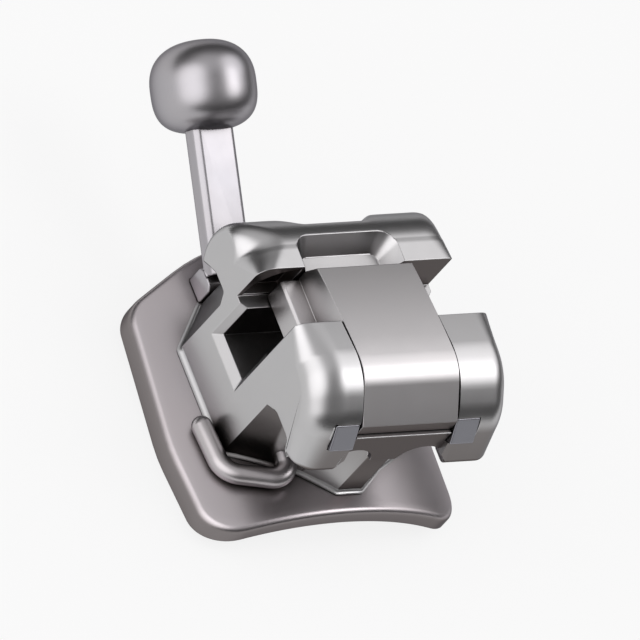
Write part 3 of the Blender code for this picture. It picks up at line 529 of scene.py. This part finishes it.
def lower_profile():
    """The lower wings from the side: a flat front, a rounded brow and chin, and a hooked tip."""
    return rounded_outline([
        (-0.10, 0.93, 0.0), (-0.10, LOWER_FRONT, 0.0), (LOWER_TOP, LOWER_FRONT, 0.0),
        (-0.985, 1.972, 0.70), (-1.46, 1.585, 0.60), (-1.625, 0.93, 0.07), (-1.40, 0.93, 0.0),
        (-1.24, 1.075, 0.15), (-0.92, 1.075, 0.15), (-0.72, 0.93, 0.0),
    ])


def lower_fillets(profile):
    """Drops towards the wing's middle and widths, growing down the front and least at the tip."""
    down = -profile[:, 0]
    out = profile[:, 1]
    inward = np.stack([np.minimum(0, profile[:, 0] - LOWER_MIDDLE[0]), out - LOWER_MIDDLE[1]], axis=1)
    reach = np.maximum(1e-6, np.linalg.norm(inward, axis=1))
    share = smooth_step(0.10, 0.85, down) * (0.55 + 0.45 * smooth_step(0.93, 1.45, out))
    drop = LEAST_DROP * smooth_step(0.30, 0.42, down) + (LOWER_DROP - LEAST_DROP) * share
    drop[(out < LOWER_MIDDLE[1] + STANDOFF) & (down < 1.408)] = 0
    drops = -inward / reach[:, None] * drop[:, None]
    return drops, LEAST_WIDTH + (LOWER_WIDTH - LEAST_WIDTH) * share


def block(name, low, high):
    """A box between two corners."""
    outline = np.array([(low[0], low[1]), (high[0], low[1]), (high[0], high[1]), (low[0], high[1])])
    return prism(name, outline, low[2], high[2], (0, 1, 2))


def hull(name, points):
    """The convex solid round some points."""
    mesh = bpy.data.meshes.new(name)
    work = bmesh.new()
    for point in points:
        work.verts.new(Vector(point) * MM)
    made = bmesh.ops.convex_hull(work, input=work.verts)
    bmesh.ops.delete(work, geom=made["geom_interior"], context="VERTS")
    bmesh.ops.recalc_face_normals(work, faces=work.faces)
    work.to_mesh(mesh)
    work.free()
    piece = bpy.data.objects.new(name, mesh)
    bpy.context.scene.collection.objects.link(piece)
    return piece


def neck_outline(side):
    """The neck from the front, a keel below and a crown above, with its sides moved out by side."""
    left = BODY_LEFT - side
    right = BODY_RIGHT + side
    return np.array([
        (-0.15, -1.45), (0.15, -1.45), (0.5, -1.18), (right, -0.76), (right, 0.495), (0.85, 0.95),
        (-0.85, 0.95), (left, 0.492), (left, -0.758), (-0.5, -1.18),
    ])


def braze_fillet():
    """The hollow fillet of braze round the neck's root.

    At a turn from 0 to a right angle it stands out from the neck by BRAZE * (1 - sin(turn)), at a
    height of BRAZE_LIP + BRAZE * (1 - cos(turn)) over the pad. It is drawn in by the standoff, so
    that it ends within the neck's sides. Above and below it runs on, into the neck and to where the
    pad's clearance cuts it off.
    """
    outline = evenly(neck_outline(0), BRAZE_POINTS)
    along = np.roll(outline, -1, axis=0) - np.roll(outline, 1, axis=0)
    along /= np.linalg.norm(along, axis=1, keepdims=True)
    outward = np.stack([along[:, 1], -along[:, 0]], axis=1)
    turn = np.linspace(0, math.pi / 2, BRAZE_STEPS)
    offsets = np.concatenate([[BRAZE], BRAZE * (1 - np.sin(turn)), [-BRAZE_OVERLAP]]) - STANDOFF
    flat = outline + outward * offsets[:, None, None]
    heights = BRAZE_LIP + BRAZE * (1 - np.cos(turn))
    rising = pad_height(flat[1:-1, :, 0], 0) + heights[:, None]
    below = np.full((1, BRAZE_POINTS), -PAST)
    above = np.full((1, BRAZE_POINTS), BRAZE_TOP)
    z = np.concatenate([below, rising, above])
    return loft("braze_fillet", np.concatenate([flat, z[:, :, None]], axis=2))


def pad_clearance():
    """What lies behind a surface just in front of the pad."""
    x = np.linspace(-CLEARANCE_HALF_WIDTH, CLEARANCE_HALF_WIDTH, 90)
    curve = np.stack([pad_height(x, -PAD_GAP), x], axis=1)
    outline = np.vstack([curve, [(-FAR, CLEARANCE_HALF_WIDTH), (-FAR, -CLEARANCE_HALF_WIDTH)]])
    return prism("pad_clearance", outline, -CLEARANCE_REACH, CLEARANCE_REACH, (2, 0, 1))


def pocket_profile():
    """The pocket under the upper left wing, seen along Y (x, z): a straight rear and right side, and
    a front that goes from the left by a quarter of an ellipse, as the bulb over it does."""
    run = np.linspace(0, 1, 16)
    from_round = (1 - run * POCKET_LENGTH / POCKET_ROUND).clip(0, 1)
    x = POCKET_LEFT + POCKET_LENGTH * run
    z = POCKET_FRONT - POCKET_DROP * (1 - np.sqrt(1 - from_round ** 2))
    rear = [(POCKET_LEFT + POCKET_LENGTH, POCKET_REAR), (POCKET_LEFT, POCKET_REAR)]
    return np.vstack([np.stack([x, z], axis=1), rear])


def slot_flare(side, edge):
    """The slot's opened mouth at one side: a wedge whose half height, depth and way out all grow
    evenly, from just within the side to just past it."""
    points = []
    for share in (0, 2):
        at = edge + side * (share - 1) * FLARE_REACH
        half = SLOT_HALF + share * FLARE_SIDE
        deep = SLOT_FLOOR - share * FLARE_DEPTH
        points += [(at, -half, deep), (at, half, deep), (at, half, FAR), (at, -half, FAR)]
    return hull("flare", points)


def crisp_on_body(x, y, z):
    """The edges beside the closed door and those of the fillet stay as they are."""
    beside_door = abs(abs(x) - CHANNEL_HALF) < 0.003 and y < LOWER_TOP + 0.03
    return beside_door or z < pad_height(x, 0) + BRAZE + BRAZE_LIP + 0.001


body = prism("body", neck_outline(NECK_SPARE), -PAST, NECK_TOP, (0, 1, 2))
upper = wing("upper_wings", upper_profile(), *upper_fillets(upper_profile()), UPPER_RIGHT)
lower_saddle(upper)
cut(body, upper, "UNION")

lower = wing("lower_wings", lower_profile(), *lower_fillets(lower_profile()), LOWER_RIGHT)
turn = np.linspace(0, 2 * math.pi, 72, endpoint=False)
arch = np.stack([ARCH_RADIUS * np.cos(turn), ARCH_RADIUS * np.sin(turn)], axis=1)
for side in (-1, 1):
    cut(lower, prism("arch", arch + np.array((side * ARCH_X, ARCH_Z)), -2.0, LOWER_TOP, (0, 2, 1)))
cut(lower, block("below_web", (-CHANNEL_HALF, -2.5, 0.0), (CHANNEL_HALF, WEB_BOTTOM, FAR)))
settle(lower)
cut(body, lower, "UNION")

cut(body, prism("hollow", pocket_profile(), POCKET_BOTTOM, POCKET_TOP, (0, 2, 1)))
cut(body, block("width", (BODY_LEFT, -2.0, -FAR), (BODY_RIGHT, 2.0, FAR)), "INTERSECT")
cut(body, braze_fillet(), "UNION")
cut(body, pad_clearance())
slot = np.array([(-SLOT_HALF, SLOT_FLOOR), (SLOT_HALF, SLOT_FLOOR), (SLOT_HALF, RUNNER_REAR),
                 (UPPER_UNDERSIDE, RUNNER_REAR), (UPPER_UNDERSIDE, FAR), (LOWER_TOP, FAR),
                 (LOWER_TOP, 1.25), (-SLOT_HALF, 1.19)])
cut(body, prism("slot", slot, BODY_LEFT - PAST, BODY_RIGHT + PAST, (1, 2, 0)))
cut(body, slot_flare(-1, BODY_LEFT))
cut(body, slot_flare(1, BODY_RIGHT))
cut(body, block("channel", (-CHANNEL_HALF, -FAR, CHANNEL_FLOOR), (CHANNEL_HALF, 0.0, FAR)))
runner = np.array([(RUNNER_REAR, RUNNER_HALF), (RUNNER_CORNER[0], RUNNER_HALF),
                   (RUNNER_FRONT, RUNNER_CORNER[1]), (RUNNER_FRONT, -RUNNER_CORNER[1]),
                   (RUNNER_CORNER[0], -RUNNER_HALF), (RUNNER_REAR, -RUNNER_HALF)])
cut(body, prism("runner_space", runner, RUNNER_BOTTOM, RUNNER_TOP, (2, 0, 1)))
settle(body)


def plug_block(name, inner, outer, length, depth, proud, side):
    """A box square to the wings' lower front, let in by a depth and standing proud of it, from an
    inner to an outer distance from the middle."""
    along = Vector((0, math.cos(PLUG_SLANT), math.sin(PLUG_SLANT)))
    out = Vector((0, -math.sin(PLUG_SLANT), math.cos(PLUG_SLANT)))
    centre = Vector(PLUG_MIDDLE)
    points = []
    for x in (inner, outer):
        for run in (-length / 2, length / 2):
            for rise in (-depth, proud):
                points.append(centre + Vector((side * x, 0, 0)) + along * run + out * rise)
    return hull(name, points)


def tool_recess():
    """The recess in the upper wings' front, which an opening tool goes into: the solid round two
    outlines, a narrow one on its floor and a wider, rounder one before its rim."""
    points = []
    for height in (0.0, 1.5):
        half = 0.50 + height * 0.15
        top = 0.684 + height * 0.169
        corner = 0.10 + height * 0.10
        rim = rounded_outline([(half, RECESS_BOTTOM, 0.0), (half, top, corner), (-half, top, corner),
                               (-half, RECESS_BOTTOM, 0.0)])
        points += [(a, b, RECESS_FLOOR + height * RECESS_RISE) for a, b in rim]
    return hull("recess", points)


for side in (-1, 1):
    cut(body, plug_block("pocket", 0.62, 0.944, 0.317, 0.21, 0.20, side))
cut(body, tool_recess())
settle(body)
soften(body, 0.009, crisp=crisp_on_body)
# The body's steel is painted dark on its undersides and in deep corners, as shade.
dress(body, "bracket_body", "bracket",
      stainless("body_steel", (0.53, 0.52, 0.52), (0.50, 0.50, 0.51), 0.30, 0.03, 0.05, PAINTED_UNDERSIDE_SHADE))


# The door is a formed and milled plate that slides down the front and opens the slot. Its band
# fills the channel between the lower wings, and a flange each side runs in a groove of the body.
DOOR_TOP = 0.341
DOOR_FRONT = 1.846
DOOR_SLOPE = 0.0908
DOOR_BOW = 0.018
DOOR_BOW_END = -0.97
DOOR_REAR = 1.43
DOOR_HALF = 0.62
LIP_TOP = 0.427
LIP_REAR = 1.273
FLANGE_HALF = 0.858
FLANGE_FRONT = 1.505
FLANGE_REAR = 1.195
FLANGE_CORNER = (1.478, 0.831)
FLANGE_BOTTOM = -0.499
FLANGE_TOP = 0.405


def door_profile():
    """The door from the side: a lip in the slot's mouth, a front that slopes outwards by
    DOOR_SLOPE and bows by 4 * DOOR_BOW * s * (1 - s) over its share s, and a rounded brow."""
    y = np.linspace(DOOR_TOP, -0.66, 12)
    bow = 4 * DOOR_BOW * (DOOR_TOP - y) * (y - DOOR_BOW_END) / (DOOR_TOP - DOOR_BOW_END) ** 2
    z = DOOR_FRONT + (DOOR_TOP - y) * DOOR_SLOPE + bow
    front = list(zip(y, z, np.zeros(12)))
    return rounded_outline([
        (LIP_TOP, LIP_REAR, 0.0), (LIP_TOP, 1.64, 0.0)] + front + [(-0.985, 1.9625, 0.50),
        (-1.456, 1.576, 0.0), (-1.456, DOOR_REAR, 0.0), (0.0, DOOR_REAR, 0.0), (0.0, LIP_REAR, 0.0),
    ])


door = prism("door", door_profile(), -DOOR_HALF, DOOR_HALF, (1, 2, 0))
flanges = np.array([(FLANGE_REAR, FLANGE_HALF), (FLANGE_CORNER[0], FLANGE_HALF),
                    (FLANGE_FRONT, FLANGE_CORNER[1]), (FLANGE_FRONT, -FLANGE_CORNER[1]),
                    (FLANGE_CORNER[0], -FLANGE_HALF), (FLANGE_REAR, -FLANGE_HALF)])
cut(door, prism("flanges", flanges, FLANGE_BOTTOM, FLANGE_TOP, (2, 0, 1)), "UNION")
settle(door)
soften(door, 0.007)
# The door's steel is painted dark on its undersides and in deep corners, as shade.
dress(door, "sliding_door", "door",
      stainless("door_steel", (0.55, 0.53, 0.53), (0.52, 0.51, 0.52), 0.30, 0.03, 0.05, PAINTED_UNDERSIDE_SHADE))


# The stop plugs are small square pieces, pressed and welded into the lower ends of the flange
# grooves. They keep the door in, and stand a little proud of the wings.
for hand, side in (("left", -1), ("right", 1)):
    plug = plug_block("plug_" + hand, 0.635, 0.94, 0.311, 0.20, 0.018, side)
    soften(plug, 0.016)
    plug_steel = stainless("stop_plug_" + hand + "_steel", (0.33, 0.33, 0.36), (0.30, 0.30, 0.33),
                           0.33, 0.03, 0.1)
    dress(plug, "stop_plug_" + hand, "bracket", plug_steel)


# The ball hook is one casting, welded on the pad behind the left wing: a foot, a flat stem with
# chamfered edges, and a squarish ball that an elastic is hung on.
STEM_SLANT = math.radians(22.3)
BALL = np.array((-0.593, 2.993, 1.186))
BALL_RADIUS = 0.565
BALL_HALF_HEIGHT = 0.487
BALL_POWERS = (2.4, 3.0)
STEM_HALF = 0.265
STEM_DEEP = 0.125
STEM_EDGE = 0.055
STEM_LENGTH = 2.02
FOOT_HALF = 0.275
STEM_ALONG = np.array((0, math.cos(STEM_SLANT), math.sin(STEM_SLANT)))
STEM_ACROSS = np.array((1, 0, 0))
STEM_OUT = np.array((0, -math.sin(STEM_SLANT), math.cos(STEM_SLANT)))


def superellipse(angle, across, high, power):
    """The point at an angle on a squarish ellipse: cos and sin raised to 2 / power, with signs."""
    cosine, sine = np.cos(angle), np.sin(angle)
    a = np.sign(cosine) * np.abs(cosine) ** (2 / power) * across
    b = np.sign(sine) * np.abs(sine) ** (2 / power) * high
    return a, b


def ball():
    """A squarish half ellipse turned round the stem's line, squarer below than above."""
    angle = np.linspace(math.pi / 2, -math.pi / 2, 98)[1:-1]
    power = np.where(angle > 0, *BALL_POWERS)
    radius, height = superellipse(angle, BALL_RADIUS, BALL_HALF_HEIGHT, power)
    turn = np.linspace(0, 2 * math.pi, 96, endpoint=False)
    rings = (BALL + height[:, None, None] * STEM_ALONG
             + radius[:, None, None] * (np.cos(turn)[:, None] * STEM_ACROSS
                                        + np.sin(turn)[:, None] * STEM_OUT))
    poles = (BALL + BALL_HALF_HEIGHT * STEM_ALONG, BALL - BALL_HALF_HEIGHT * STEM_ALONG)
    return loft("ball", rings, poles)


def stem():
    """A chamfered section carried from inside the ball down to the pad."""
    half = STEM_HALF
    deep = STEM_DEEP
    side = STEM_DEEP - STEM_EDGE
    face = STEM_HALF - STEM_EDGE
    section = np.array([(half, -side), (half, side), (face, deep), (-face, deep),
                        (-half, side), (-half, -side), (-face, -deep), (face, -deep)])
    flat = section[:, :1] * STEM_ACROSS + section[:, 1:] * STEM_OUT
    return loft("hook", np.stack([BALL + flat, BALL - STEM_LENGTH * STEM_ALONG + flat]))


hook = stem()
foot = np.array([(0.975, -0.25), (0.975, 0.34), (1.035, 0.40), (1.21, 0.40), (1.27, 0.34),
                 (1.27, -0.25)])
cut(hook, prism("foot", foot, BALL[0] - FOOT_HALF, BALL[0] + FOOT_HALF, (1, 2, 0)), "UNION")
cut(hook, pad_clearance())
settle(hook)
soften(hook, 0.02, harden=False)
cut(hook, ball(), "UNION")
settle(hook)
soften(hook, 0)
hook.data.set_sharp_from_angle(angle=math.radians(38))
dress(hook, "ball_hook", "bracket",
      stainless("hook_steel", (0.44, 0.415, 0.42), (0.41, 0.405, 0.435), 0.34, 0.03, 0.06))


# The retaining wire is drawn stainless wire with a domed free end. It lies bent on the pad at the
# lower left, and its other end is fixed in a hole in the neck.
WIRE_RADIUS = 0.1125
WIRE_BENDS = (0.27, 0.16)
WIRE_LYING = [(-1.39, -0.47, 0.010), (-1.36, -1.05, 0.010), (-0.74, -1.32, 0.040)]
WIRE_ROOT = (-0.68, -0.82, 0.32)


def wire_path():
    """Points along the wire. Its corners lie a gap over the pad, up to the root in the neck, and
    each corner between becomes the arc of its bend's radius that touches both its sides."""
    corners = [Vector((x, y, float(pad_height(x, 0)) + WIRE_RADIUS + gap)) for x, y, gap in WIRE_LYING]
    corners.append(Vector(WIRE_ROOT))
    path = [corners[0]]
    for before, here, after, bend in zip(corners, corners[1:], corners[2:], WIRE_BENDS):
        back = (before - here).normalized()
        onward = (after - here).normalized()
        half = back.angle(onward) / 2
        centre = here + (back + onward).normalized() * bend / math.sin(half)
        start = here + back * bend / math.tan(half) - centre
        end = here + onward * bend / math.tan(half) - centre
        path += [centre + start.lerp(end, share).normalized() * bend
                 for share in np.linspace(0, 1, 20)]
    path.append(corners[-1])
    return np.array(path)


def tube(name, path, radii, sides):
    """A round tube along a path. Each ring stands square to the path, turned no further about it
    than the ring before."""
    along = np.gradient(path, axis=0)
    along /= np.linalg.norm(along, axis=1, keepdims=True)
    across = np.zeros_like(path)
    across[0] = np.cross(along[0], (0, 0, 1))
    for index in range(1, len(path)):
        across[index] = across[index - 1] - along[index] * (across[index - 1] @ along[index])
        across[index] /= np.linalg.norm(across[index])
    across[0] /= np.linalg.norm(across[0])
    up = np.cross(along, across)
    turn = np.linspace(0, 2 * math.pi, sides, endpoint=False)
    rings = path[:, None] + radii[:, None, None] * (np.cos(turn)[:, None] * across[:, None]
                                                    + np.sin(turn)[:, None] * up[:, None])
    return loft(name, rings)


path = wire_path()
dome = np.linspace(math.radians(86), 0, 12)[:-1]
outward = (path[0] - path[1]) / np.linalg.norm(path[0] - path[1])
tip = path[0] + outward * WIRE_RADIUS * np.sin(dome)[:, None]
radii = np.concatenate([WIRE_RADIUS * np.cos(dome), np.full(len(path), WIRE_RADIUS)])
wire = tube("wire", np.vstack([tip, path]), radii, 40)
soften(wire, 0)
wire.data.set_sharp_from_angle(angle=math.radians(50))
dress(wire, "retaining_wire", "bracket",
      stainless("wire_steel", (0.50, 0.47, 0.47), (0.46, 0.44, 0.46), 0.34, 0.03, 0.1))


# The stage: a pale floor at the pad's lowest edge, which the camera and the metal see as white, a
# world with a pale ceiling and four soft lights in its walls, and the camera at the photo's angle.
RIGHT = Vector((0.8054, -0.341, 0.4853)).normalized()
BACK = Vector((-0.591, -0.395, 0.7035)).normalized()
UP = BACK.cross(RIGHT).normalized()
PIXELS_PER_MM = 95
PICTURE = 640
ORIGIN_PIXEL = (290.9, 384.2)
CAMERA_DISTANCE = 40
FLOOR_HALF = 0.25
FLOOR_WHITENESS = 0.84
SOFT_LIGHTS = [
    (-86, 28, 12, 46, 1.9),
    (60, 54, 8, 22, 1.8),
    (98, 50, 14, 34, 1.35),
    (-150, 62, 8, 38, 0.4),
]

floor_mesh = bpy.data.meshes.new("floor")
floor_corners = [(-FLOOR_HALF, -FLOOR_HALF, cad_low.z), (FLOOR_HALF, -FLOOR_HALF, cad_low.z),
                 (FLOOR_HALF, FLOOR_HALF, cad_low.z), (-FLOOR_HALF, FLOOR_HALF, cad_low.z)]
floor_mesh.from_pydata(floor_corners, [], [(0, 1, 2, 3)])
floor = bpy.data.objects.new("floor", floor_mesh)
bpy.context.scene.collection.objects.link(floor)
floor_material = bpy.data.materials.new("floor_paint")
floor_material.use_nodes = True
nodes = floor_material.node_tree.nodes
links = floor_material.node_tree.links
shader = nodes["Principled BSDF"]
shader.inputs["Base Color"].default_value = (0.8, 0.8, 0.8, 1)
shader.inputs["Roughness"].default_value = 0.9

rays = nodes.new("ShaderNodeLightPath")
seen = nodes.new("ShaderNodeMath")
seen.operation = "MAXIMUM"
links.new(rays.outputs["Is Camera Ray"], seen.inputs[0])
links.new(rays.outputs["Is Glossy Ray"], seen.inputs[1])
seen_through = nodes.new("ShaderNodeMath")
seen_through.operation = "MAXIMUM"
links.new(seen.outputs[0], seen_through.inputs[0])
links.new(rays.outputs["Is Transmission Ray"], seen_through.inputs[1])
whiteness = nodes.new("ShaderNodeMath")
whiteness.operation = "MULTIPLY"
whiteness.inputs[1].default_value = FLOOR_WHITENESS
links.new(seen_through.outputs[0], whiteness.inputs[0])
glow = nodes.new("ShaderNodeEmission")
glow.inputs["Color"].default_value = (1, 1, 1, 1)
choice = nodes.new("ShaderNodeMixShader")
links.new(whiteness.outputs[0], choice.inputs[0])
links.new(shader.outputs[0], choice.inputs[1])
links.new(glow.outputs[0], choice.inputs[2])
links.new(choice.outputs[0], nodes["Material Output"].inputs["Surface"])
floor.data.materials.append(floor_material)

world = bpy.context.scene.world or bpy.data.worlds.new("studio")
bpy.context.scene.world = world
world.use_nodes = True
nodes = world.node_tree.nodes
links = world.node_tree.links
sky = nodes["Background"]
toward = nodes.new("ShaderNodeTexCoord").outputs["Generated"]
height = nodes.new("ShaderNodeSeparateXYZ")
links.new(toward, height.inputs[0])
wall = nodes.new("ShaderNodeMapRange")
wall.interpolation_type = "SMOOTHSTEP"
wall.inputs["From Min"].default_value = 0.20
wall.inputs["From Max"].default_value = 0.95
wall.inputs["To Min"].default_value = 0.05
wall.inputs["To Max"].default_value = 0.31
links.new(height.outputs["Z"], wall.inputs["Value"])
light = wall.outputs["Result"]


def with_soft_light(light, azimuth, elevation, inner, outer, brightness):
    """The light so far, with a round soft light in the studio's walls added to it.

    It comes from an azimuth (0 below the object, 90 on its right) and an elevation. It is full
    within an inner angle from there and gone past an outer one.
    """
    a = math.radians(azimuth)
    e = math.radians(elevation)
    facing = nodes.new("ShaderNodeVectorMath")
    facing.operation = "DOT_PRODUCT"
    facing.inputs[1].default_value = (math.sin(a) * math.cos(e), -math.cos(a) * math.cos(e), math.sin(e))
    links.new(toward, facing.inputs[0])
    edge = nodes.new("ShaderNodeMapRange")
    edge.interpolation_type = "SMOOTHSTEP"
    edge.inputs["From Min"].default_value = math.cos(math.radians(outer))
    edge.inputs["From Max"].default_value = math.cos(math.radians(inner))
    edge.inputs["To Max"].default_value = brightness
    links.new(facing.outputs["Value"], edge.inputs["Value"])
    total = nodes.new("ShaderNodeMath")
    total.operation = "ADD"
    links.new(light, total.inputs[0])
    links.new(edge.outputs["Result"], total.inputs[1])
    return total.outputs[0]


for soft_light in SOFT_LIGHTS:
    light = with_soft_light(light, *soft_light)
links.new(light, sky.inputs["Strength"])
sky.inputs["Color"].default_value = (1.0, 0.99, 0.995, 1)

camera = bpy.data.objects.new("camera", bpy.data.cameras.new("camera"))
bpy.context.scene.collection.objects.link(camera)
bpy.context.scene.camera = camera
camera.data.type = "ORTHO"
camera.data.ortho_scale = PICTURE / PIXELS_PER_MM * MM
across_px = (PICTURE / 2 - ORIGIN_PIXEL[0]) / PIXELS_PER_MM
up_px = (ORIGIN_PIXEL[1] - PICTURE / 2) / PIXELS_PER_MM
camera.location = (RIGHT * across_px + UP * up_px + BACK * CAMERA_DISTANCE) * MM
camera.rotation_mode = "QUATERNION"
camera.rotation_quaternion = Matrix((RIGHT, UP, BACK)).transposed().to_quaternion()
camera.data.clip_start = 0.001
camera.data.clip_end = 1.0

bpy.context.scene.view_settings.view_transform = "Standard"
